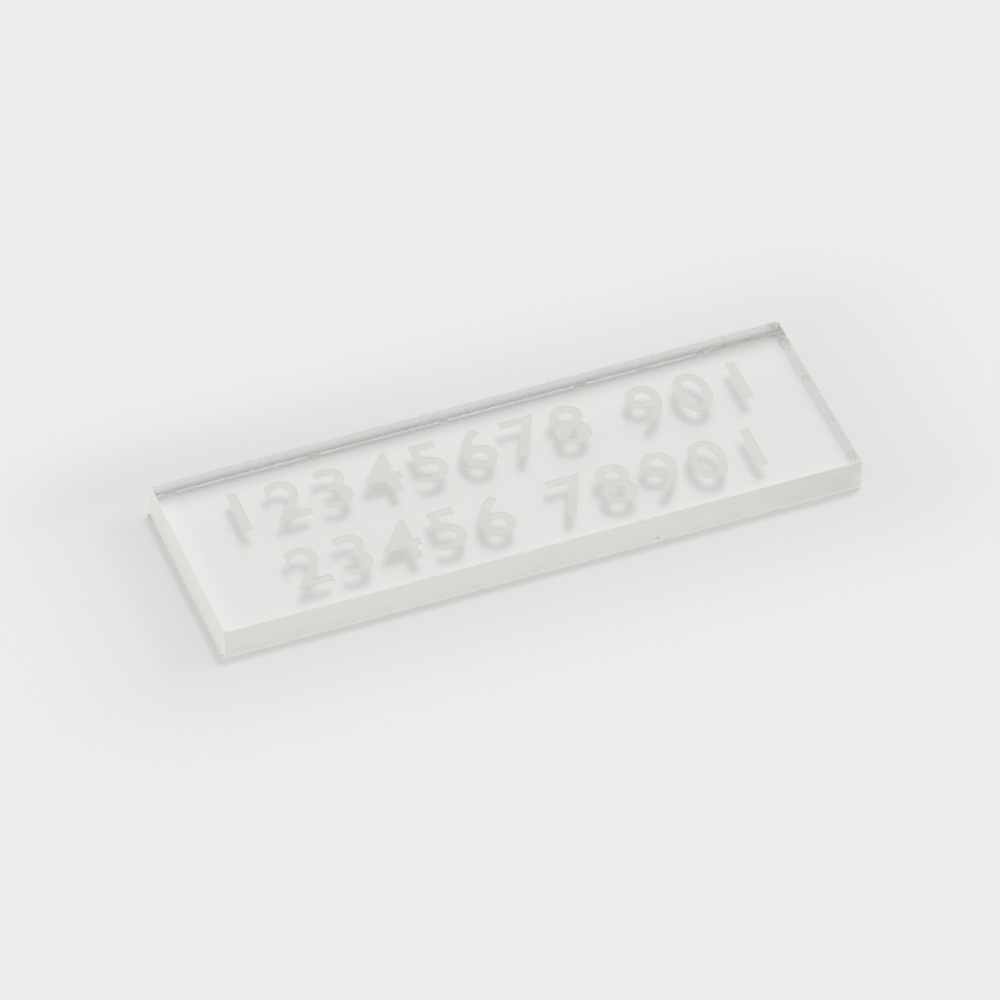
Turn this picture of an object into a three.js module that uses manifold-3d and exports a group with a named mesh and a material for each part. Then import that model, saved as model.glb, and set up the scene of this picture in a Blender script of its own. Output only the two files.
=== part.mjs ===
// Acrylic plaque: one rectangular blank sawn from clear cast sheet. Millimetres, +Z up.
// X runs along the plaque and Y across it. The origin is on the underside, below the middle of the top face.
import * as THREE from 'three';
import { mergeVertices } from 'three/addons/utils/BufferGeometryUtils.js';
import Module from 'manifold-3d';

const wasm = await Module();
wasm.setup();

// Blank, measured on the top face
const plaqueLength = 60;
const plaqueWidth = 20;
const sheetThickness = 3.2;

// Edge work
const cornerRadius = 0.3;
const cornerSteps = 6;
const arrisWidth = 0.05;

// The saw was not quite square: how far the foot of each sawn face stands out beyond its top edge
const leftLean = 0.27;
const rightLean = 0.1;
const frontLean = 0.01;
const backLean = 0.17;

// Flakes broken out of the lower edges, where the saw teeth leave the sheet. Each is a shell-shaped scar:
// its place along the edge from the middle, counted anticlockwise round the plaque, its length along the edge,
// its height up the sawn face, its reach in under the plaque, and the tilt in degrees that makes one end steeper.
const frontFlakes = [
  { along: -28.9, length: 1.3, height: 0.14, reach: 0.3, tilt: 0 },
  { along: -27.3, length: 1.1, height: 0.2, reach: 0.35, tilt: 4 },
  { along: -24.1, length: 0.8, height: 0.1, reach: 0.3, tilt: 0 },
  { along: -14.8, length: 1.2, height: 0.16, reach: 0.3, tilt: 3 },
  { along: -6.1, length: 0.6, height: 0.1, reach: 0.25, tilt: 0 },
  { along: -1.6, length: 1.5, height: 0.2, reach: 0.4, tilt: 3 },
  { along: 8.9, length: 0.7, height: 0.12, reach: 0.25, tilt: 0 },
  { along: 10.4, length: 0.5, height: 0.75, reach: 0.12, tilt: 0 },
  { along: 11.5, length: 1.9, height: 0.3, reach: 0.5, tilt: 5 },
  { along: 18.6, length: 0.9, height: 0.14, reach: 0.3, tilt: 4 },
  { along: 22.1, length: 1.4, height: 0.18, reach: 0.35, tilt: 3 },
  { along: 24.3, length: 1.5, height: 0.24, reach: 0.4, tilt: -3 },
  { along: 28.1, length: 4, height: 0.12, reach: 0.35, tilt: 0 },
];
const rightFlakes = [
  { along: -7.4, length: 1.6, height: 0.16, reach: 0.3, tilt: 2 },
  { along: -2.2, length: 0.8, height: 0.1, reach: 0.25, tilt: 0 },
  { along: 3.6, length: 1.3, height: 0.14, reach: 0.3, tilt: -3 },
  { along: 8.6, length: 1.9, height: 0.22, reach: 0.45, tilt: 3 },
];
const backFlakes = [
  { along: -26.4, length: 7, height: 0.2, reach: 0.45, tilt: 0 },
  { along: -22.4, length: 0.9, height: 0.24, reach: 0.4, tilt: 4 },
  { along: -16.8, length: 1.2, height: 0.1, reach: 0.25, tilt: 0 },
  { along: -10.8, length: 1.3, height: 0.2, reach: 0.4, tilt: 3 },
  { along: 2.2, length: 1.1, height: 0.26, reach: 0.35, tilt: -4 },
  { along: 14.6, length: 1.6, height: 0.12, reach: 0.3, tilt: 0 },
  { along: 28.2, length: 1.2, height: 0.3, reach: 0.4, tilt: 3 },
];
const leftFlakes = [
  { along: -9.3, length: 1.4, height: 0.26, reach: 0.35, tilt: -4 },
  { along: -6.6, length: 2.6, height: 0.1, reach: 0.25, tilt: 0 },
  { along: -1.4, length: 1.8, height: 0.12, reach: 0.25, tilt: 2 },
  { along: 8.2, length: 2.8, height: 0.12, reach: 0.25, tilt: 0 },
];

// Crumbled lower corner at the front left
const crumbRadius = 0.42;

// Nick in the front sawn face: place from the middle, height of its centre, width, height and depth
const nick = { along: -12.9, above: 2.4, width: 0.16, height: 0.75, depth: 0.06 };

const halfLength = plaqueLength / 2;
const halfWidth = plaqueWidth / 2;

// Manifold solid from a closed geometry
function toSolid(geometry) {
  const bare = geometry.clone();
  bare.deleteAttribute('normal');
  bare.deleteAttribute('uv');
  const merged = mergeVertices(bare, 1e-5);
  const mesh = new wasm.Mesh({
    numProp: 3,
    vertProperties: new Float32Array(merged.attributes.position.array),
    triVerts: new Uint32Array(merged.index.array),
  });
  return new wasm.Manifold(mesh);
}

// Geometry from a manifold solid
function toGeometry(solid) {
  const mesh = solid.getMesh();
  const geometry = new THREE.BufferGeometry();
  geometry.setAttribute('position', new THREE.BufferAttribute(mesh.vertProperties, 3));
  geometry.setIndex(new THREE.BufferAttribute(mesh.triVerts, 1));
  geometry.computeVertexNormals();
  return geometry;
}

// Top outline: a rectangle with eased corners
function blankOutline() {
  const inX = halfLength - cornerRadius;
  const inY = halfWidth - cornerRadius;
  const shape = new THREE.Shape();
  shape.moveTo(-inX, -halfWidth);
  shape.lineTo(inX, -halfWidth);
  shape.absarc(inX, -inY, cornerRadius, -Math.PI / 2, 0);
  shape.lineTo(halfLength, inY);
  shape.absarc(inX, inY, cornerRadius, 0, Math.PI / 2);
  shape.lineTo(-inX, halfWidth);
  shape.absarc(-inX, inY, cornerRadius, Math.PI / 2, Math.PI);
  shape.lineTo(-halfLength, -inY);
  shape.absarc(-inX, -inY, cornerRadius, Math.PI, 1.5 * Math.PI);
  return shape;
}

// Spreads the outline towards the foot, so that every sawn face leans by its own amount
function leanFaces(geometry) {
  const place = geometry.attributes.position;
  for (let i = 0; i < place.count; i += 1) {
    const drop = 1 - place.getZ(i) / sheetThickness;
    const alongX = (place.getX(i) + halfLength) / plaqueLength;
    const alongY = (place.getY(i) + halfWidth) / plaqueWidth;
    place.setX(i, place.getX(i) + drop * THREE.MathUtils.lerp(-leftLean, rightLean, alongX));
    place.setY(i, place.getY(i) + drop * THREE.MathUtils.lerp(-frontLean, backLean, alongY));
  }
  return geometry;
}

// The blank as it leaves the saw: extruded sheet with a hairline arris round both faces
function sawnBlank() {
  const geometry = new THREE.ExtrudeGeometry(blankOutline(), {
    depth: sheetThickness - 2 * arrisWidth,
    bevelThickness: arrisWidth,
    bevelSize: arrisWidth,
    bevelOffset: -arrisWidth,
    bevelSegments: 1,
    curveSegments: cornerSteps,
  });
  geometry.translate(0, 0, arrisWidth);
  return leanFaces(geometry);
}

// The four lower edges: the middle of each, and the turn that brings its sawn face to the front
const lowerEdges = [
  { middle: [0, -halfWidth - frontLean], turn: 0, flakes: frontFlakes },
  { middle: [halfLength + rightLean, 0], turn: Math.PI / 2, flakes: rightFlakes },
  { middle: [0, halfWidth + backLean], turn: Math.PI, flakes: backFlakes },
  { middle: [-halfLength - leftLean, 0], turn: 1.5 * Math.PI, flakes: leftFlakes },
];

// One shell-shaped flake, centred on its edge
function flakeCutter(flake, edge) {
  const geometry = new THREE.IcosahedronGeometry(1, 1);
  geometry.scale(flake.length / 2, flake.reach, flake.height);
  geometry.rotateY(THREE.MathUtils.degToRad(flake.tilt));
  geometry.translate(flake.along, 0, 0);
  geometry.rotateZ(edge.turn);
  geometry.translate(edge.middle[0], edge.middle[1], 0);
  return toSolid(geometry);
}

// Rounded crumble at the lower front left corner
function crumbCutter() {
  const geometry = new THREE.IcosahedronGeometry(crumbRadius, 1);
  geometry.translate(-halfLength - leftLean, -halfWidth - frontLean, 0);
  return toSolid(geometry);
}

// Upright nick, half sunk in the front sawn face at its height
function nickCutter() {
  const geometry = new THREE.IcosahedronGeometry(1, 1);
  geometry.scale(nick.width / 2, nick.depth, nick.height / 2);
  const lean = frontLean * (1 - nick.above / sheetThickness);
  geometry.translate(nick.along, -halfWidth - lean, nick.above);
  return toSolid(geometry);
}

let slab = toSolid(sawnBlank());
for (const edge of lowerEdges) {
  for (const flake of edge.flakes) {
    slab = slab.subtract(flakeCutter(flake, edge));
  }
}
slab = slab.subtract(crumbCutter());
slab = slab.subtract(nickCutter());

// Clear, almost colourless cast acrylic
const clearAcrylic = new THREE.MeshStandardMaterial({
  color: 0xe6e6e2,
  roughness: 0.12,
  metalness: 0,
  transparent: true,
  opacity: 0.35,
});

const acrylicSlab = new THREE.Mesh(toGeometry(slab), clearAcrylic);
acrylicSlab.name = 'acrylic_slab';

const plaque = new THREE.Group();
plaque.name = 'acrylic_plaque';
plaque.add(acrylicSlab);

export default plaque;
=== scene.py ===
"""A small sawn plaque of clear acrylic with two rows of frosted figures, lying on a pale table.

Metres, +Z up. X runs along the plaque and Y across it, and its underside is at height 0.
"""

import math

import bmesh
import bpy
from bpy.props import FloatProperty, FloatVectorProperty, PointerProperty, StringProperty
from mathutils import Matrix, Vector


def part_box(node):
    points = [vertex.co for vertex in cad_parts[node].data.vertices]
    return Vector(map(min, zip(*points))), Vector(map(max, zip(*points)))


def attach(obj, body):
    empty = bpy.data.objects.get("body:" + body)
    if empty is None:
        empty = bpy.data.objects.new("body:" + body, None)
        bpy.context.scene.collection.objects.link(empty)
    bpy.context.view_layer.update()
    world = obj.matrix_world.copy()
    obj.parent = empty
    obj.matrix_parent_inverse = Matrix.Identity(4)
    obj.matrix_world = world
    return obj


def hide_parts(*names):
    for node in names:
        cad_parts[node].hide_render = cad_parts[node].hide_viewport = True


bl_info = {
    "name": "Acrylic Plaque",
    "version": (1, 0, 0),
    "blender": (4, 5, 0),
    "location": "3D View > Sidebar > Plaque",
    "description": "Engraves and finishes a sawn acrylic plaque and sets it on a pale table",
    "category": "Object",
}

MM = 0.001
BLANK = "acrylic_slab"
PLAQUE = "engraved_slab"

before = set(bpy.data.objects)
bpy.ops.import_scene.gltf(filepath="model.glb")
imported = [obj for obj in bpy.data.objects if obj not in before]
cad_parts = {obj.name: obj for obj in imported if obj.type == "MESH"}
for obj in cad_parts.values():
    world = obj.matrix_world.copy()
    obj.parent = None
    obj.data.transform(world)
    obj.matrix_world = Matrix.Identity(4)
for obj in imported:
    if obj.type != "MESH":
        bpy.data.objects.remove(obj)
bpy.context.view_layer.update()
BLANK_LOW, BLANK_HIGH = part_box(BLANK)
TOP_FACE = BLANK_HIGH[2]

# Top edges of the right and back faces, which lean out a little towards the foot
RIGHT, BACK = 30 * MM, 10 * MM

# Finishes, in the order of the plaque's material slots
POLISHED, SAWN, RUBBED, BROKEN, FROSTED = range(5)

# Faces that lie further from upright than the first are level, and folds flatter than the second dissolve
LEVEL_SLOPE = math.radians(89)
FLAT_FOLD = math.radians(0.05)

# Making of the figures: steps in a curve, rounds of spacing, and the gap that is welded shut
CURVE_STEPS = 8
SPACING_ROUNDS = 4
FIGURE_WELD = 0.0002 * MM

# Two opposite corners of an object's bound box, in Blender's order
LOW_CORNER, HIGH_CORNER = 0, 6

# Size of the grains in each pattern
MARK_GRAIN = 0.9 * MM
WAVE_GRAIN = 9 * MM
TOOTH_GRAIN = 0.14 * MM
SAWN_GRAIN = 0.06 * MM
RIM_GRAIN = 0.5 * MM
MOTTLE_GRAIN = 3 * MM
RUBBED_GRAIN = 0.3 * MM
RIPPLE_GRAIN = 0.12 * MM
FROST_GRAIN = 0.05 * MM
CUTTER_GRAIN = 0.1 * MM

# Depth of the bumps in each pattern
WAVE_DEPTH = 0.002 * MM
TOOTH_DEPTH = 0.004 * MM
SAWN_DEPTH = 0.003 * MM
RIPPLE_DEPTH = 0.006 * MM
FROST_DEPTH = 0.003 * MM
CUTTER_DEPTH = 0.002 * MM

# Stretch of the patterns that run one way: marks and cutter rows along the plaque, tooth marks upright
MARK_STRETCH = (3, 1, 1)
TOOTH_STRETCH = (1, 1, 14)
CUTTER_STRETCH = (20, 1, 1)

# Least and greatest roughness of an uneven finish, as shares of the written one
POLISHED_SPREAD = (0.3, 1.7)
SAWN_SPREAD = (0.9, 1.1)
BROKEN_SPREAD = (0.6, 1.8)
FROSTED_SPREAD = (0.92, 1.08)

# How far the mottle moves the colour up or down a sawn face, as a share of its height
MOTTLE = 0.3

# Colour that light takes through each finish on its way to the table: from the lamps, and from all round
POLISHED_TINTS = (1, 1, 0.995), (0.962, 0.962, 0.962)
RUBBED_TINTS = (0.5, 0.5, 0.5), (0.9, 0.9, 0.89)
BROKEN_TINTS = (0.4, 0.4, 0.4), (0.85, 0.85, 0.84)
FROSTED_TINTS = (0.2, 0.2, 0.19), (0.88, 0.87, 0.86)

# Heights between which a finish or a painted shade changes
UNDERSIDE = (0.02 * MM, 0.01 * MM)
LOW_BACK_PAINTED_SHADE = (1.8 * MM, 1.1 * MM)
UPPER_HALF = (TOP_FACE / 2, TOP_FACE / 2 + 0.1 * MM)

# Places between which a finish or a painted shade changes, along the plaque and across it
RIGHT_DARKENING = (8 * MM, 25 * MM)
BACK_ARRIS = (0.9 * BACK, 0.95 * BACK)

# Width of the change from one sawn face to the next, and half that of the change at the dark height
FACE_EDGE = 0.05 * MM
DARK_SOFTNESS = 0.15 * MM

# Painted shade on the open card off the left end: where it is full, where it begins to fade, and its span
# across
LEFT_RISE = 1.1 * MM
LEFT_FADE = 2.5 * MM
LEFT_SPAN = (8 * MM, 12.5 * MM)

# Painted shade on the open card behind the plaque: where it starts along it, its rise across, and its fade
# outwards
BEHIND_START = 24 * MM
BEHIND_RISE = (10.5 * MM, 14 * MM)
BEHIND_FADE = (4 * MM, 12 * MM)

# Painted light on the covered card behind the upper row: its rise across, and its end, inwards from the back
# foot
PAINTED_GLOW_RISE = (3 * MM, 8 * MM)
PAINTED_GLOW_END = (1 * MM, 1.8 * MM)

# Width of the table in metres, and how far it and its covered patch lie below the plaque
TABLE_WIDTH = 6
TABLE_SINK = 0.02 * MM
COVERED_SINK = 0.01 * MM

# Height of the lamps in metres, and width of the camera's sensor in millimetres
LAMP_HEIGHT = 10
SENSOR_WIDTH = 36


class PlaqueBlank(bpy.types.PropertyGroup):
    """How the blank taken from the frame is closed and sorted."""

    weld: FloatProperty(
        name="Weld",
        description="Loose corners closer than this are joined",
        default=0.0005 * MM,
        precision=6,
        unit="LENGTH",
    )
    sawn_slope: FloatProperty(
        name="Sawn Slope",
        description="Faces nearer to upright than this are sawn",
        default=math.radians(7.5),
        subtype="ANGLE",
    )
    rubbed_slopes: FloatVectorProperty(
        name="Rubbed Slopes",
        description="Faces between these two slopes belong to the arrises",
        default=(math.radians(39.8), math.radians(50.4)),
        size=2,
        subtype="EULER",
    )
    scar_top: FloatProperty(
        name="Scar Top",
        description="The flake scars lie below this height",
        default=1.2 * MM,
        unit="LENGTH",
    )


class PlaqueFigures(bpy.types.PropertyGroup):
    """The two engraved rows."""

    upper_row: StringProperty(
        name="Upper Row",
        description="Figures in the upper row",
        default="12345678 901",
    )
    lower_row: StringProperty(
        name="Lower Row",
        description="Figures in the lower row",
        default="23456 78901",
    )
    height: FloatProperty(
        name="Figure Height",
        description="Height of a figure, from its foot to its top",
        default=5.2 * MM,
        unit="LENGTH",
    )
    embolden: FloatProperty(
        name="Embolden",
        description="How far each side of a stroke is pushed out, as a share of the type size",
        default=0.014,
    )
    depth: FloatProperty(
        name="Depth",
        description="Depth of the engraving below the top face",
        default=0.03 * MM,
        precision=5,
        unit="LENGTH",
    )
    upper_foot: FloatProperty(
        name="Upper Foot",
        description="Where the upper row stands, measured across the plaque from its middle",
        default=1.3 * MM,
        unit="LENGTH",
    )
    lower_foot: FloatProperty(
        name="Lower Foot",
        description="Where the lower row stands, measured across the plaque from its middle",
        default=-7.4 * MM,
        unit="LENGTH",
    )
    upper_width: FloatProperty(
        name="Upper Width",
        description="Length of the upper row",
        default=48.4 * MM,
        unit="LENGTH",
    )
    lower_width: FloatProperty(
        name="Lower Width",
        description="Length of the lower row",
        default=44.2 * MM,
        unit="LENGTH",
    )


class PlaqueFinish(bpy.types.PropertyGroup):
    """Colour and roughness of the acrylic."""

    clear_colour: FloatVectorProperty(
        name="Clear Colour",
        description="Colour of light that has passed a polished face",
        default=(1.0, 0.997, 0.997),
        size=3,
        subtype="COLOR",
    )
    # Painted light: a sawn face is lighter at its foot than at its top
    sawn_foot_colour_painted_light: FloatVectorProperty(
        name="Sawn Colour",
        description="Colour of a sawn face at its foot",
        default=(1.0, 0.989, 0.957),
        size=3,
        subtype="COLOR",
    )
    upper_sawn_colour: FloatVectorProperty(
        name="Upper Sawn Colour",
        description="Colour of a sawn face at its top",
        default=(0.982, 0.972, 0.94),
        size=3,
        subtype="COLOR",
    )
    right_sawn_colour: FloatVectorProperty(
        name="Right Sawn Colour",
        description="Colour of a sawn face at its top, at the plaque's right-hand end",
        default=(0.9, 0.89, 0.862),
        size=3,
        subtype="COLOR",
    )
    rubbed_colour: FloatVectorProperty(
        name="Rubbed Colour",
        description="Colour of the hairline arrises",
        default=(0.9, 0.896, 0.87),
        size=3,
        subtype="COLOR",
    )
    # Painted shade on the upper arrises, at the back and seen from inside
    back_rubbed_painted_shade: FloatVectorProperty(
        name="Back Rubbed Colour",
        description="Colour of the upper arris at the back",
        default=(0.79, 0.787, 0.768),
        size=3,
        subtype="COLOR",
    )
    inner_rubbed_painted_shade: FloatVectorProperty(
        name="Inner Rubbed Colour",
        description="Colour of the upper arrises, seen from inside",
        default=(0.68, 0.675, 0.655),
        size=3,
        subtype="COLOR",
    )
    # Painted shade darkens the flake scars from outside, and painted light lightens them seen from inside
    broken_painted_shade_colour: FloatVectorProperty(
        name="Broken Colour",
        description="Colour of the flake scars",
        default=(0.62, 0.6, 0.56),
        size=3,
        subtype="COLOR",
    )
    inner_broken_painted_light_colour: FloatVectorProperty(
        name="Inner Broken Colour",
        description="Colour of the flake scars, seen from inside",
        default=(0.86, 0.85, 0.82),
        size=3,
        subtype="COLOR",
    )
    frosted_colour: FloatVectorProperty(
        name="Frosted Colour",
        description="Colour of light that has passed an engraved figure",
        default=(0.725, 0.72, 0.692),
        size=3,
        subtype="COLOR",
    )
    polished_roughness: FloatProperty(
        name="Polished Roughness",
        description="Roughness of the two faces",
        default=0.015,
    )
    underside_roughness: FloatProperty(
        name="Underside Roughness",
        description="Roughness of the underside where it touches the table, seen from inside",
        default=0.25,
    )
    sawn_roughness: FloatProperty(
        name="Sawn Roughness",
        description="Roughness of the sawn edges",
        default=0.5,
    )
    broken_roughness: FloatProperty(
        name="Broken Roughness",
        description="Roughness of the flake scars",
        default=0.12,
    )
    frosted_roughness: FloatProperty(
        name="Frosted Roughness",
        description="Roughness of the engraving",
        default=0.6,
    )
    sawn_clearness: FloatProperty(
        name="Sawn Clearness",
        description="Part of the light that a sawn face lets through, and doesn't scatter",
        default=0.28,
        subtype="FACTOR",
    )
    broken_clearness: FloatProperty(
        name="Broken Clearness",
        description="Part of the light that a flake scar lets through, and doesn't scatter",
        default=0.15,
        subtype="FACTOR",
    )
    frosted_clearness: FloatProperty(
        name="Frosted Clearness",
        description="Part of the light that the engraving lets through, and doesn't scatter",
        default=0.3,
        subtype="FACTOR",
    )
    dark_height: FloatProperty(
        name="Dark Height",
        description="Below this height, each sawn face passes its own part of the light from all round",
        default=1.1 * MM,
        unit="LENGTH",
    )
    rim_height: FloatVectorProperty(
        name="Rim Height",
        description="Least and greatest height of the rubbed rim at the foot of a sawn face",
        default=(0.26 * MM, 0.44 * MM),
        size=2,
        precision=5,
        unit="LENGTH",
    )
    mirror_roughness: FloatProperty(
        name="Mirror Roughness",
        description="Roughness of the sawn edges, seen from inside",
        default=0.1,
    )
    mirror_clearness: FloatProperty(
        name="Mirror Clearness",
        description="Part of the light that a sawn edge mirrors inside, and doesn't scatter",
        default=0.97,
        subtype="FACTOR",
    )
    back_mirror_clearness: FloatProperty(
        name="Back Mirror Clearness",
        description="Part of the light that the back edge mirrors inside, and doesn't scatter",
        default=0.85,
        subtype="FACTOR",
    )
    # Painted shade on the back face seen from inside, darker still on its lower part
    back_mirror_painted_shade: FloatVectorProperty(
        name="Back Mirror Colour",
        description="Colour of the back edge, seen from inside",
        default=(0.62, 0.61, 0.585),
        size=3,
        subtype="COLOR",
    )
    low_back_mirror_painted_shade: FloatVectorProperty(
        name="Low Back Mirror Colour",
        description="Colour of the lower part of the back edge, seen from inside",
        default=(0.32, 0.315, 0.3),
        size=3,
        subtype="COLOR",
    )
    end_clearness: FloatProperty(
        name="End Clearness",
        description="Part of the light that the left and right sawn faces let through, and don't scatter",
        default=0.05,
        subtype="FACTOR",
    )
    broken_mirror: FloatProperty(
        name="Broken Mirror",
        description="Part of the light that a flake scar mirrors inside, and doesn't scatter",
        default=0.12,
        subtype="FACTOR",
    )
    rim_clearness: FloatProperty(
        name="Rim Clearness",
        description="Part of the light that the rubbed rim at the foot lets through, and doesn't scatter",
        default=0.1,
        subtype="FACTOR",
    )
    entering: FloatProperty(
        name="Entering",
        description="Part of the light from all round that comes in through a sawn face",
        default=0.95,
        subtype="FACTOR",
    )
    lamp_entering: FloatProperty(
        name="Lamp Entering",
        description="Part of the key lamp's light that comes in through a sawn face",
        default=0.15,
        subtype="FACTOR",
    )
    lamp_leaving: FloatVectorProperty(
        name="Lamp Leaving",
        description="Part of the key lamp's light that comes through the back and right faces from inside",
        default=(0.07, 0.12),
        size=2,
    )
    front_leaving: FloatProperty(
        name="Front Leaving",
        description="Light that the covered table gets through the front and left faces, next to open table",
        default=1.15,
    )
    back_leaving: FloatProperty(
        name="Back Leaving",
        description="Part of the light from all round that reaches the covered table through the back face",
        default=0.0,
        subtype="FACTOR",
    )
    right_leaving: FloatProperty(
        name="Right Leaving",
        description="Part of the light from all round that reaches the covered table through the right face",
        default=0.75,
        subtype="FACTOR",
    )
    refraction: FloatProperty(
        name="Refraction",
        description="Index of refraction of cast acrylic",
        default=1.49,
    )


class PlaqueStage(bpy.types.PropertyGroup):
    """Table, light and camera."""

    # Painted shade round the plaque: the table is darker near it, and fades to its far colour over the fade
    table_near_painted_shade: FloatVectorProperty(
        name="Table Near",
        description="Colour of the table beside the plaque",
        default=(0.777, 0.776, 0.761),
        size=3,
        subtype="COLOR",
    )
    table_far: FloatVectorProperty(
        name="Table Far",
        description="Colour of the table away from the plaque",
        default=(0.843, 0.843, 0.843),
        size=3,
        subtype="COLOR",
    )
    fade: FloatProperty(
        name="Fade",
        description="How far out from the plaque the table reaches its far colour",
        default=15 * MM,
        unit="LENGTH",
    )
    fade_back: FloatProperty(
        name="Fade Back",
        description="How far back the middle of the fade lies",
        default=0.6 * MM,
        unit="LENGTH",
    )
    end_reach: FloatProperty(
        name="End Reach",
        description="Fade measured off the two ends of the plaque, as a share of that off its long sides",
        default=0.75,
        subtype="FACTOR",
    )
    # Painted shade on the open card, off the left end of the plaque and behind it
    left_shade: FloatProperty(
        name="Left Shade",
        description="How much darker the table is off the left end of the plaque",
        default=0.05,
        subtype="FACTOR",
    )
    left_reach: FloatProperty(
        name="Left Reach",
        description="How far out from the plaque that shade goes",
        default=7 * MM,
        unit="LENGTH",
    )
    back_shade: FloatProperty(
        name="Back Shade",
        description="How much darker the table is behind the left end of the plaque than behind the right",
        default=0.035,
        subtype="FACTOR",
    )
    # Painted light on the covered card: narrow lines along the back and right feet, and glows behind the upper
    # row and along the left and front feet
    painted_foot_line: FloatProperty(
        name="Foot Line",
        description="How much lighter the covered table is in the narrow line along the back foot",
        default=0.4,
        subtype="FACTOR",
    )
    painted_foot_line_reach: FloatVectorProperty(
        name="Foot Line Reach",
        description="How far in from the back foot that line begins to fade, and how far in it ends",
        default=(0.06 * MM, 0.24 * MM),
        size=2,
        precision=5,
        unit="LENGTH",
    )
    painted_right_line: FloatProperty(
        name="Right Line",
        description="How much lighter the covered table is in the narrow line along the right foot",
        default=0.16,
        subtype="FACTOR",
    )
    painted_right_line_reach: FloatVectorProperty(
        name="Right Line Reach",
        description="How far in from the right foot that line begins to fade, and how far in it ends",
        default=(0.2 * MM, 0.34 * MM),
        size=2,
        precision=5,
        unit="LENGTH",
    )
    painted_back_glow: FloatProperty(
        name="Back Glow",
        description="How much lighter the covered table is behind the upper row",
        default=0.045,
        subtype="FACTOR",
    )
    painted_foot_glow: FloatProperty(
        name="Foot Glow",
        description="How much lighter the covered table is along the left and front feet of the plaque",
        default=0.03,
        subtype="FACTOR",
    )
    painted_foot_glow_reach: FloatVectorProperty(
        name="Foot Glow Reach",
        description="How far in from those feet the glow begins to fade, and how far in it ends",
        default=(1.75 * MM, 2.65 * MM),
        size=2,
        precision=5,
        unit="LENGTH",
    )
    key_share: FloatProperty(
        name="Key Share",
        description="Part of the table's light that comes from the key lamp overhead",
        default=0.215,
        subtype="FACTOR",
    )
    bent_share: FloatProperty(
        name="Bent Share",
        description="Part of the covered table's light that comes from the key lamp, bent by the acrylic",
        default=0.26,
        subtype="FACTOR",
    )
    key_lean: FloatVectorProperty(
        name="Key Lean",
        description="How far the key lamp stands off the upright, along X and Y, for each unit of height",
        default=(0.297, 0.225),
        size=2,
    )
    key_width: FloatVectorProperty(
        name="Key Width",
        description="Width of the key lamp along X and Y, for each unit of height",
        default=(0.22, 0.22),
        size=2,
    )
    bent_lean: FloatVectorProperty(
        name="Bent Lean",
        description="The lean of the key lamp's light once the acrylic has bent it",
        default=(0.09, 0.01),
        size=2,
    )
    bent_width: FloatVectorProperty(
        name="Bent Width",
        description="The width of the key lamp as it looks from inside the acrylic",
        default=(0.24, 0.34),
        size=2,
    )
    lens: FloatProperty(
        name="Lens",
        description="Focal length of the camera, in millimetres",
        default=288.0,
    )
    distance: FloatProperty(
        name="Distance",
        description="From the plaque's origin to the camera, along its axis",
        default=711.88 * MM,
        unit="LENGTH",
    )
    azimuth: FloatProperty(
        name="Azimuth",
        description="Turn of the camera round the plaque, from the front",
        default=math.radians(-19.919),
        subtype="ANGLE",
    )
    elevation: FloatProperty(
        name="Elevation",
        description="Height of the camera above the table, as an angle",
        default=math.radians(43.162),
        subtype="ANGLE",
    )
    roll: FloatProperty(
        name="Roll",
        description="Turn of the camera about its own axis",
        default=math.radians(-1.026),
        subtype="ANGLE",
    )
    aside: FloatProperty(
        name="Aside",
        description="Sideways place of the camera's axis, from the plaque's origin",
        default=-0.639 * MM,
        precision=5,
        unit="LENGTH",
    )
    above: FloatProperty(
        name="Above",
        description="Upward place of the camera's axis, from the plaque's origin",
        default=-0.020 * MM,
        precision=5,
        unit="LENGTH",
    )


def settings():
    return bpy.context.scene.acrylic_plaque


def deselect_all():
    if bpy.context.object and bpy.context.object.mode != "OBJECT":
        bpy.ops.object.mode_set(mode="OBJECT")
    bpy.ops.object.select_all(action="DESELECT")


def select_only(thing):
    deselect_all()
    thing.select_set(True)
    bpy.context.view_layer.objects.active = thing


def apply_modifier(thing, modifier):
    select_only(thing)
    bpy.ops.object.modifier_apply(modifier=modifier.name)


def is_closed(thing):
    """True if every edge of the mesh has exactly two faces."""
    shell = bmesh.new()
    shell.from_mesh(thing.data)
    closed = all(len(edge.link_faces) == 2 for edge in shell.edges)
    shell.free()
    return closed


# Materials


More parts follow.
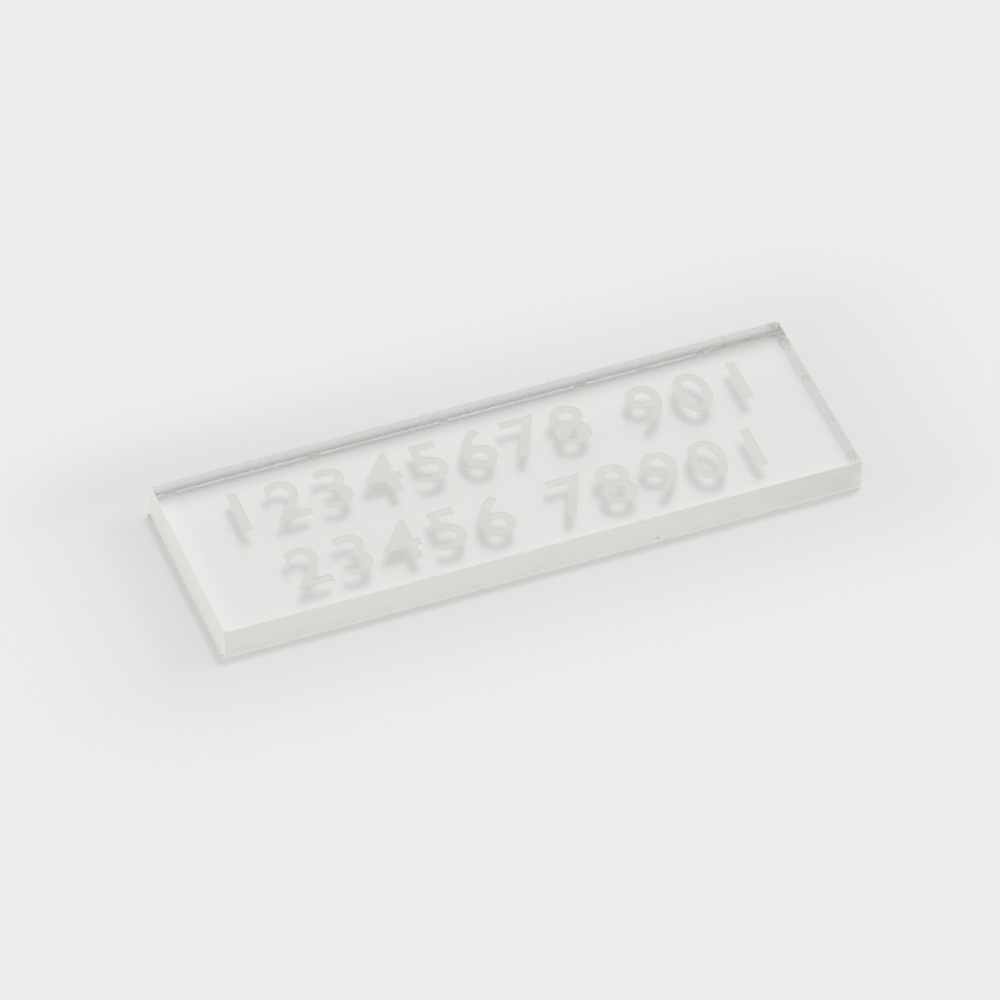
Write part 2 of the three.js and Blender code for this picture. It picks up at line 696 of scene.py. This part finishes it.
class Surface:
    """Nodes of one material, which read their place on the piece."""

    def __init__(self, name):
        self.material = bpy.data.materials.new(name)
        self.material.use_nodes = True
        self.tree = self.material.node_tree
        self.tree.nodes.clear()
        self.place = self.node("ShaderNodeTexCoord").outputs["Object"]

    def node(self, kind, **values):
        made = self.tree.nodes.new(kind)
        for key, value in values.items():
            setattr(made, key, value)
        return made

    def link(self, source, target):
        self.tree.links.new(source, target)

    def put(self, value, target):
        """Sets target to a number or a colour, or links an output to it."""
        if isinstance(value, bpy.types.NodeSocket):
            self.link(value, target)
        elif isinstance(value, tuple):
            target.default_value = (*value, 1)
        else:
            target.default_value = value

    def noise(self, grain, stretch=(1, 1, 1), detail=3.0):
        """Noise whose grains are about this size, in metres, stretched along the axes."""
        mapping = self.node("ShaderNodeMapping")
        mapping.inputs["Scale"].default_value = [1 / share for share in stretch]
        self.link(self.place, mapping.inputs["Vector"])
        noise = self.node("ShaderNodeTexNoise")
        noise.inputs["Scale"].default_value = 1 / grain
        noise.inputs["Detail"].default_value = detail
        self.link(mapping.outputs["Vector"], noise.inputs["Vector"])
        return noise.outputs["Fac"]

    def spread(self, source, low, high, start=0.3, end=0.7, kind="LINEAR"):
        """Values of source between start and end, spread over low to high."""
        spread = self.node("ShaderNodeMapRange", interpolation_type=kind)
        spread.inputs["From Min"].default_value = start
        spread.inputs["From Max"].default_value = end
        spread.inputs["To Min"].default_value = low
        spread.inputs["To Max"].default_value = high
        self.link(source, spread.inputs["Value"])
        return spread.outputs["Result"]

    def eased(self, source, start, end, low, high):
        """Values of source between start and end, eased from low to high."""
        return self.spread(source, low, high, start, end, "SMOOTHSTEP")

    def uneven(self, source, value, shares):
        """Value, times shares that follow source."""
        return self.spread(source, shares[0] * value, shares[1] * value)

    def along(self, axis):
        """The place along this axis, in metres."""
        split = self.node("ShaderNodeSeparateXYZ")
        self.link(self.place, split.inputs["Vector"])
        return split.outputs[axis]

    def away(self, axis, start, end):
        """0 where the place along this axis is start, in metres, and 1 where it is end."""
        return self.spread(self.along(axis), 0, 1, start, end)

    def reckon(self, operation, first, second=0, clamp=False):
        """The outcome of an operation on two numbers or outputs."""
        node = self.node("ShaderNodeMath", operation=operation, use_clamp=clamp)
        self.put(first, node.inputs[0])
        self.put(second, node.inputs[1])
        return node.outputs["Value"]

    def vector(self, operation, first, second=(0, 0, 0)):
        """The outcome of an operation on a vector output and a written vector."""
        node = self.node("ShaderNodeVectorMath", operation=operation)
        self.link(first, node.inputs[0])
        node.inputs[1].default_value = second
        return node.outputs["Value" if operation == "LENGTH" else "Vector"]

    def blend(self, share, first, second):
        """First where share is 0 and second where it is 1. Each is a number or an output."""
        mix = self.node("ShaderNodeMix", data_type="FLOAT")
        self.link(share, mix.inputs["Factor"])
        self.put(first, mix.inputs["A"])
        self.put(second, mix.inputs["B"])
        return mix.outputs["Result"]

    def blend_colours(self, share, first, second):
        """The colour first where share is 0 and second where it is 1."""
        mix = self.node("ShaderNodeMix", data_type="RGBA")
        self.link(share, mix.inputs["Factor"])
        colours = [end for end in mix.inputs if end.type == "RGBA"]
        self.put(first, colours[0])
        self.put(second, colours[1])
        return [end for end in mix.outputs if end.type == "RGBA"][0]

    def both(self, first, second):
        """The product of two outputs."""
        return self.reckon("MULTIPLY", first, second)

    def seen_inside(self):
        """1 where the surface is seen from inside the acrylic."""
        return self.node("ShaderNodeNewGeometry").outputs["Backfacing"]

    def bump(self, height, distance, normal=None):
        """Normals bumped by height, up to this distance, on top of normal if there is one."""
        bump = self.node("ShaderNodeBump")
        bump.inputs["Strength"].default_value = 1
        bump.inputs["Distance"].default_value = distance
        self.link(height, bump.inputs["Height"])
        if normal:
            self.link(normal, bump.inputs["Normal"])
        return bump.outputs["Normal"]

    def finish(self, colour, clearness, roughness, normal, lamp_colour, table_colour):
        """Acrylic of this colour and roughness, which scatters all but clearness of the light that passes.

        Light on its way to the table passes it unbent: light from the lamps with lamp_colour, and light
        from all round with table_colour. So the shadows under the plaque come out without specks.
        """
        acrylic = self.node("ShaderNodeBsdfPrincipled")
        self.put(colour, acrylic.inputs["Base Color"])
        self.put(clearness, acrylic.inputs["Transmission Weight"])
        acrylic.inputs["IOR"].default_value = settings().finish.refraction
        self.link(roughness, acrylic.inputs["Roughness"])
        if normal:
            self.link(normal, acrylic.inputs["Normal"])
        shader = acrylic.outputs["BSDF"]
        path = self.node("ShaderNodeLightPath")
        for ray, through in (("Is Diffuse Ray", table_colour), ("Is Shadow Ray", lamp_colour)):
            clear = self.node("ShaderNodeBsdfTransparent")
            self.put(through, clear.inputs["Color"])
            mix = self.node("ShaderNodeMixShader")
            self.link(path.outputs[ray], mix.inputs["Fac"])
            self.link(shader, mix.inputs[1])
            self.link(clear.outputs["BSDF"], mix.inputs[2])
            shader = mix.outputs["Shader"]
        output = self.node("ShaderNodeOutputMaterial")
        self.link(shader, output.inputs["Surface"])
        return self.material


def polished_acrylic():
    """The two faces of the cast sheet: glossy, with the faintest waves and handling marks."""
    finish = settings().finish
    surface = Surface("polished_acrylic")
    marks = surface.noise(MARK_GRAIN, MARK_STRETCH)
    rough = surface.uneven(marks, finish.polished_roughness, POLISHED_SPREAD)
    waves = surface.bump(surface.noise(WAVE_GRAIN), WAVE_DEPTH)
    underside = surface.both(surface.away("Z", *UNDERSIDE), surface.seen_inside())
    rough = surface.blend(underside, rough, finish.underside_roughness)
    return surface.finish(tuple(finish.clear_colour), 1, rough, waves, *POLISHED_TINTS)


def sawn_acrylic():
    """The sawn edges: matte, with upright tooth marks, a fine grain and a rubbed rim at the foot, and painted
    light that makes them lighter towards the foot.

    From inside they mirror the table, as all light meets them at a flat angle there, and the back one carries
    painted shade that makes it dimmer than the rest, darker still low down. Each side passes its own part of
    the light that falls on the covered table.
    """
    finish = settings().finish
    surface = Surface("sawn_acrylic")
    teeth = surface.noise(TOOTH_GRAIN, TOOTH_STRETCH, detail=2)
    grain = surface.noise(SAWN_GRAIN)
    inside = surface.seen_inside()
    rough = surface.uneven(teeth, finish.sawn_roughness, SAWN_SPREAD)
    rough = surface.blend(inside, rough, finish.mirror_roughness)
    normal = surface.bump(teeth, TOOTH_DEPTH)
    normal = surface.bump(grain, SAWN_DEPTH, normal)

    wide = surface.noise(RIM_GRAIN, detail=2)
    rim_top = surface.spread(wide, finish.rim_height[0], finish.rim_height[1])
    rim = surface.reckon("LESS_THAN", surface.along("Z"), rim_top)

    mottle = surface.spread(surface.noise(MOTTLE_GRAIN, detail=2), -MOTTLE, MOTTLE)
    # Painted light: a sawn face is lighter at its foot than at its top. Its top also darkens towards the
    # right-hand end
    up = surface.reckon("ADD", surface.away("Z", 0, TOP_FACE), mottle, clamp=True)
    along = surface.away("X", *RIGHT_DARKENING)
    upper = surface.blend_colours(along, tuple(finish.upper_sawn_colour), tuple(finish.right_sawn_colour))
    colour = surface.blend_colours(up, tuple(finish.sawn_foot_colour_painted_light), upper)

    back = surface.away("Y", BACK - FACE_EDGE, BACK)
    right = surface.away("X", RIGHT - FACE_EDGE, RIGHT)
    left = surface.away("X", -RIGHT + FACE_EDGE, -RIGHT)
    # Painted shade: seen from inside, the back face is darker, and darker still low down
    high_painted_shade, low_painted_shade = tuple(finish.back_mirror_painted_shade), tuple(finish.low_back_mirror_painted_shade)
    painted_mirror_shade = surface.blend_colours(surface.away("Z", *LOW_BACK_PAINTED_SHADE), high_painted_shade, low_painted_shade)
    painted_mirror_shade = surface.blend_colours(surface.both(back, inside), colour, painted_mirror_shade)
    colour = surface.blend_colours(rim, painted_mirror_shade, colour)
    ends = surface.reckon("ADD", right, left)
    outer = surface.blend(ends, finish.sawn_clearness, finish.end_clearness)
    mirror = surface.blend(back, finish.mirror_clearness, finish.back_mirror_clearness)
    clearness = surface.blend(inside, outer, mirror)
    clearness = surface.blend(rim, clearness, finish.rim_clearness)

    low = surface.away("Z", finish.dark_height + DARK_SOFTNESS, finish.dark_height - DARK_SOFTNESS)
    leaving = surface.blend(right, finish.front_leaving, finish.right_leaving)
    leaving = surface.blend(back, leaving, finish.back_leaving)
    leaving = surface.blend(low, 1.0, leaving)
    through = surface.blend(inside, finish.entering, leaving)
    lamp_leaving = surface.blend(right, 1.0, finish.lamp_leaving[1])
    lamp_leaving = surface.blend(back, lamp_leaving, finish.lamp_leaving[0])
    lamp_through = surface.blend(inside, finish.lamp_entering, lamp_leaving)
    return surface.finish(colour, clearness, rough, normal, lamp_through, through)


def rubbed_acrylic():
    """The hairline arrises: rubbed matte, with painted shade that makes them darker on top, both at the back
    and as seen from inside.
    """
    finish = settings().finish
    surface = Surface("rubbed_acrylic")
    rough = surface.uneven(surface.noise(RUBBED_GRAIN), finish.sawn_roughness, SAWN_SPREAD)
    # Painted shade: the upper arris is darker at the back, and every upper arris is darker seen from inside
    upper = surface.away("Z", *UPPER_HALF)
    back = surface.both(upper, surface.away("Y", *BACK_ARRIS))
    colour = surface.blend_colours(back, tuple(finish.rubbed_colour), tuple(finish.back_rubbed_painted_shade))
    upper_inside = surface.both(upper, surface.seen_inside())
    colour = surface.blend_colours(upper_inside, colour, tuple(finish.inner_rubbed_painted_shade))
    return surface.finish(colour, finish.rim_clearness, rough, None, *RUBBED_TINTS)


def broken_acrylic():
    """The flake scars: glossier than the sawn face round them, and rippled like broken glass; painted shade in
    their hollows makes them darker from outside, and painted light makes them lighter seen from inside.
    """
    finish = settings().finish
    surface = Surface("broken_acrylic")
    ripples = surface.noise(RIPPLE_GRAIN, detail=1)
    rough = surface.uneven(ripples, finish.broken_roughness, BROKEN_SPREAD)
    normal = surface.bump(ripples, RIPPLE_DEPTH)
    inside = surface.seen_inside()
    rough = surface.blend(inside, rough, 2 * finish.mirror_roughness)
    clearness = surface.blend(inside, finish.broken_clearness, finish.broken_mirror)
    # Painted shade from outside, painted light seen from inside
    colour = surface.blend_colours(inside, tuple(finish.broken_painted_shade_colour), tuple(finish.inner_broken_painted_light_colour))
    return surface.finish(colour, clearness, rough, normal, *BROKEN_TINTS)


def frosted_acrylic():
    """The engraved figures: matte, with the fine rows that the cutter leaves, and less clear on their walls."""
    finish = settings().finish
    surface = Surface("frosted_acrylic")
    grain = surface.noise(FROST_GRAIN)
    rows = surface.noise(CUTTER_GRAIN, CUTTER_STRETCH, detail=1)
    rough = surface.uneven(grain, finish.frosted_roughness, FROSTED_SPREAD)
    normal = surface.bump(rows, CUTTER_DEPTH)
    normal = surface.bump(grain, FROST_DEPTH, normal)
    split = surface.node("ShaderNodeSeparateXYZ")
    surface.link(surface.node("ShaderNodeNewGeometry").outputs["True Normal"], split.inputs["Vector"])
    level = surface.reckon("ABSOLUTE", split.outputs["Z"])
    clearness = surface.blend(level, finish.rim_clearness, finish.frosted_clearness)
    return surface.finish(tuple(finish.frosted_colour), clearness, rough, normal, *FROSTED_TINTS)


# The plaque


def sort_faces(plaque):
    """Gives each face its finish, by its slope: level, on an arris, upright, or broken out low down."""
    blank = settings().blank
    for face in plaque.data.polygons:
        slope = math.asin(min(abs(face.normal.z), 1))
        if slope > LEVEL_SLOPE:
            face.material_index = POLISHED
        elif blank.rubbed_slopes[0] < slope < blank.rubbed_slopes[1]:
            face.material_index = RUBBED
        elif slope < blank.sawn_slope or face.center.z > blank.scar_top:
            face.material_index = SAWN
        else:
            face.material_index = BROKEN


class PLAQUE_OT_take_blank(bpy.types.Operator):
    """Copy the sawn blank out of the frame, close its mesh and give each face its finish"""

    bl_idname = "plaque.take_blank"
    bl_label = "Take Blank"

    def execute(self, context):
        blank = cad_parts[BLANK]
        plaque = blank.copy()
        plaque.data = blank.data.copy()
        plaque.name = PLAQUE
        plaque.data.name = PLAQUE
        context.collection.objects.link(plaque)
        plaque.parent = None
        plaque.matrix_world = Matrix.Identity(4)
        select_only(plaque)
        bpy.ops.mesh.customdata_custom_splitnormals_clear()
        bpy.ops.object.mode_set(mode="EDIT")
        bpy.ops.mesh.select_all(action="SELECT")
        bpy.ops.mesh.remove_doubles(threshold=settings().blank.weld)
        bpy.ops.mesh.dissolve_limited(angle_limit=FLAT_FOLD)
        bpy.ops.object.mode_set(mode="OBJECT")
        bpy.ops.object.shade_flat()
        if not is_closed(plaque):
            raise RuntimeError("The blank's mesh isn't closed")
        plaque.data.materials.clear()
        for finish in (polished_acrylic, sawn_acrylic, rubbed_acrylic, broken_acrylic, frosted_acrylic):
            plaque.data.materials.append(finish())
        sort_faces(plaque)
        return {"FINISHED"}


def figure_row(text, foot, width):
    """A closed cutter for one row of figures, centred along the plaque and spaced to its width in rounds."""
    figures = settings().figures
    deselect_all()
    bpy.ops.object.text_add(location=(0, 0, 0))
    row = bpy.context.object
    row.data.body = text
    row.data.size = 1
    row.data.resolution_u = CURVE_STEPS
    row.data.offset = figures.embolden
    row.data.extrude = figures.depth
    bpy.context.view_layer.update()
    scale = figures.height / row.dimensions.y
    row.data.size = scale
    row.data.offset = figures.embolden * scale
    bpy.context.view_layer.update()
    for _ in range(SPACING_ROUNDS):
        row.data.space_character *= width / row.dimensions.x
        bpy.context.view_layer.update()
    select_only(row)
    bpy.ops.object.convert(target="MESH")
    bpy.ops.object.mode_set(mode="EDIT")
    bpy.ops.mesh.select_all(action="SELECT")
    bpy.ops.mesh.remove_doubles(threshold=FIGURE_WELD)
    bpy.ops.mesh.normals_make_consistent(inside=False)
    bpy.ops.object.mode_set(mode="OBJECT")
    low = Vector(row.bound_box[LOW_CORNER])
    high = Vector(row.bound_box[HIGH_CORNER])
    row.data.transform(Matrix.Translation((-(low.x + high.x) / 2, foot - low.y, TOP_FACE)))
    if not is_closed(row):
        raise RuntimeError(f"The cutter for the row {text} isn't closed")
    return row


class PLAQUE_OT_engrave_rows(bpy.types.Operator):
    """Cut the two rows of figures into the top face"""

    bl_idname = "plaque.engrave_rows"
    bl_label = "Engrave Rows"

    def execute(self, context):
        figures = settings().figures
        plaque = bpy.data.objects[PLAQUE]
        rows = (
            (figures.upper_row, figures.upper_foot, figures.upper_width),
            (figures.lower_row, figures.lower_foot, figures.lower_width),
        )
        for text, foot, width in rows:
            cutter = figure_row(text, foot, width)
            cutter.data.materials.clear()
            for material in plaque.data.materials:
                cutter.data.materials.append(material)
            for face in cutter.data.polygons:
                face.material_index = FROSTED
            cut = plaque.modifiers.new("cut", "BOOLEAN")
            cut.operation = "DIFFERENCE"
            cut.solver = "EXACT"
            cut.use_self = True
            cut.object = cutter
            apply_modifier(plaque, cut)
            bpy.data.objects.remove(cutter)
        if not is_closed(plaque):
            raise RuntimeError("The engraved plaque isn't closed")
        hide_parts(BLANK)
        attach(plaque, "root")
        return {"FINISHED"}


# The stage


def painted_open_shade(surface, away):
    """How light the open card is, with painted shade: darker off the plaque's left end, and behind it towards
    that end.
    """
    stage = settings().stage
    along, across = surface.along("X"), surface.along("Y")
    end = BLANK_LOW[0]
    left = surface.eased(along, end, end - LEFT_RISE, 0, stage.left_shade)
    near = surface.eased(along, end - LEFT_FADE, end - stage.left_reach, 1, 0)
    beside = surface.eased(surface.reckon("ABSOLUTE", across), *LEFT_SPAN, 1, 0)
    left = surface.both(surface.both(left, near), beside)
    towards_end = surface.eased(along, BEHIND_START, end, 0, stage.back_shade)
    behind = surface.eased(across, *BEHIND_RISE, 0, 1)
    behind = surface.both(behind, surface.eased(away, *BEHIND_FADE, 1, 0))
    shade = surface.reckon("SUBTRACT", 1, left)
    return surface.reckon("SUBTRACT", shade, surface.both(towards_end, behind))


def covered_painted_light(surface):
    """How light the covered card is, with painted light: a line along the back and right feet, and a glow
    inside the others.
    """
    stage = settings().stage
    along, across = surface.along("X"), surface.along("Y")
    right, back = BLANK_HIGH[0], BLANK_HIGH[1]
    near, far = back - stage.painted_foot_line_reach[0], back - stage.painted_foot_line_reach[1]
    shade = surface.eased(across, far, near, 1, 1 + stage.painted_foot_line)
    glow = surface.eased(across, *PAINTED_GLOW_RISE, 0, stage.painted_back_glow)
    glow_end = surface.eased(across, back - PAINTED_GLOW_END[0], back - PAINTED_GLOW_END[1], 0, 1)
    shade = surface.reckon("ADD", shade, surface.both(glow, glow_end))
    near, far = right - stage.painted_right_line_reach[0], right - stage.painted_right_line_reach[1]
    shade = surface.reckon("ADD", shade, surface.eased(along, far, near, 0, stage.painted_right_line))
    for place, foot in ((along, BLANK_LOW[0]), (across, BLANK_LOW[1])):
        near, far = foot + stage.painted_foot_glow_reach[0], foot + stage.painted_foot_glow_reach[1]
        shade = surface.both(shade, surface.eased(place, near, far, 1 + stage.painted_foot_glow, 1))
    return shade


def table_material(name):
    """Pale card with painted shade: a little darker beside the plaque than away from it, with other painted
    light and shade in each piece.
    """
    stage = settings().stage
    surface = Surface(name)
    card = surface.node("ShaderNodeBsdfPrincipled")
    card.inputs["Roughness"].default_value = 1
    card.inputs["Specular IOR Level"].default_value = 0
    output = surface.node("ShaderNodeOutputMaterial")
    surface.link(card.outputs["BSDF"], output.inputs["Surface"])

    # Painted shade: the card darkens towards the plaque, by its distance from it
    half = ((BLANK_HIGH[0] - BLANK_LOW[0]) / 2, (BLANK_HIGH[1] - BLANK_LOW[1]) / 2, 0)
    outside = surface.vector("SUBTRACT", surface.place, (0, stage.fade_back, 0))
    outside = surface.vector("SUBTRACT", surface.vector("ABSOLUTE", outside), half)
    outside = surface.vector("MULTIPLY", outside, (stage.end_reach, 1, 1))
    away = surface.vector("LENGTH", surface.vector("MAXIMUM", outside))
    fade = surface.eased(away, 0, stage.fade, 0, 1)
    colour = surface.blend_colours(fade, tuple(stage.table_near_painted_shade), tuple(stage.table_far))
    shade = covered_painted_light(surface) if name == "covered_card" else painted_open_shade(surface, away)
    scaled = surface.node("ShaderNodeVectorMath", operation="SCALE")
    surface.link(colour, scaled.inputs["Vector"])
    surface.link(shade, scaled.inputs["Scale"])
    surface.link(scaled.outputs["Vector"], card.inputs["Base Color"])
    return surface.material


def add_table():
    """The table, and the patch of it that the plaque covers, a hair higher. Returns both."""
    low, high = BLANK_LOW, BLANK_HIGH
    middle = (low + high) / 2
    width = high - low
    pieces = []
    for name, card, place, size, sink in (
        ("table", "card", (0, 0), (TABLE_WIDTH, TABLE_WIDTH), TABLE_SINK),
        ("covered_table", "covered_card", middle.xy, width.xy, COVERED_SINK),
    ):
        deselect_all()
        bpy.ops.mesh.primitive_plane_add(size=1, location=(*place, -sink))
        piece = bpy.context.object
        piece.name = name
        piece.scale = (*size, 1)
        bpy.ops.object.transform_apply(location=True, rotation=True, scale=True)
        piece.data.materials.append(table_material(card))
        pieces.append(piece)
    return pieces


def add_key(name, lean, width, lit, share):
    """An oval lamp far overhead, facing down, that gives the pieces in lit this share of their light."""
    way = Vector((*lean, 1))
    deselect_all()
    bpy.ops.object.light_add(type="AREA", location=way * LAMP_HEIGHT)
    key = bpy.context.object
    key.name = name
    key.data.shape = "ELLIPSE"
    key.data.size = width[0] * LAMP_HEIGHT
    key.data.size_y = width[1] * LAMP_HEIGHT
    # Power at which a level table gets this share of the light of a white dome, whatever the lean
    key.data.energy = share * math.pi**2 * way.length_squared**2 * LAMP_HEIGHT**2
    group = bpy.data.collections.new(name + "_lights")
    for piece in lit:
        group.objects.link(piece)
    key.light_linking.receiver_collection = group
    key.visible_transmission = False


def add_lights(table, covered_table):
    """An overhead key lamp and an even dome, which together light the table as its colour is written.

    The acrylic bends the key lamp's light before it lands on the covered patch, so that patch has a lamp
    of its own where the bent light seems to come from.
    """
    stage = settings().stage
    plaque = bpy.data.objects[PLAQUE]
    add_key("key_lamp", stage.key_lean, stage.key_width, (table, plaque), stage.key_share)
    add_key("bent_key_lamp", stage.bent_lean, stage.bent_width, (covered_table,), stage.bent_share)
    world = bpy.data.worlds.new("dome")
    bpy.context.scene.world = world
    world.use_nodes = True
    background = world.node_tree.nodes["Background"]
    background.inputs["Color"].default_value = (1, 1, 1, 1)
    background.inputs["Strength"].default_value = 1 - stage.key_share
    world.cycles.sampling_method = "NONE"


def add_camera():
    stage = settings().stage
    azimuth, elevation = stage.azimuth, stage.elevation
    back = Vector(
        (
            math.sin(azimuth) * math.cos(elevation),
            -math.cos(azimuth) * math.cos(elevation),
            math.sin(elevation),
        )
    )
    right = Vector((math.cos(azimuth), math.sin(azimuth), 0))
    up = back.cross(right)
    turn_cos, turn_sin = math.cos(stage.roll), math.sin(stage.roll)
    right, up = turn_cos * right + turn_sin * up, -turn_sin * right + turn_cos * up
    deselect_all()
    bpy.ops.object.camera_add()
    camera = bpy.context.object
    camera.name = "camera"
    camera.data.sensor_width = SENSOR_WIDTH
    camera.data.lens = stage.lens
    axes = Matrix((right, up, back)).transposed().to_4x4()
    place = stage.aside * right + stage.above * up + stage.distance * back
    camera.matrix_world = Matrix.Translation(place) @ axes
    bpy.context.scene.camera = camera


class PLAQUE_OT_set_stage(bpy.types.Operator):
    """Set the pale table, the lamps and the camera"""

    bl_idname = "plaque.set_stage"
    bl_label = "Set Stage"

    def execute(self, context):
        add_lights(*add_table())
        add_camera()
        context.scene.view_settings.view_transform = "Standard"
        context.scene.cycles.blur_glossy = 0
        return {"FINISHED"}


class AcrylicPlaque(bpy.types.PropertyGroup):
    """All settings of the plaque and its stage."""

    blank: PointerProperty(type=PlaqueBlank)
    figures: PointerProperty(type=PlaqueFigures)
    finish: PointerProperty(type=PlaqueFinish)
    stage: PointerProperty(type=PlaqueStage)


class PLAQUE_PT_panel(bpy.types.Panel):
    """Sidebar panel that lists the steps in order"""

    bl_idname = "PLAQUE_PT_panel"
    bl_label = "Acrylic Plaque"
    bl_space_type = "VIEW_3D"
    bl_region_type = "UI"
    bl_category = "Plaque"

    def draw(self, context):
        column = self.layout.column()
        for operator in (PLAQUE_OT_take_blank, PLAQUE_OT_engrave_rows, PLAQUE_OT_set_stage):
            column.operator(operator.bl_idname)


CLASSES = (
    PlaqueBlank,
    PlaqueFigures,
    PlaqueFinish,
    PlaqueStage,
    AcrylicPlaque,
    PLAQUE_OT_take_blank,
    PLAQUE_OT_engrave_rows,
    PLAQUE_OT_set_stage,
    PLAQUE_PT_panel,
)


def register():
    for each in CLASSES:
        bpy.utils.register_class(each)
    bpy.types.Scene.acrylic_plaque = PointerProperty(type=AcrylicPlaque)


def unregister():
    del bpy.types.Scene.acrylic_plaque
    for each in reversed(CLASSES):
        bpy.utils.unregister_class(each)


def main():
    register()
    bpy.ops.plaque.take_blank()
    bpy.ops.plaque.engrave_rows()
    bpy.ops.plaque.set_stage()


if __name__ == "__main__":
    main()
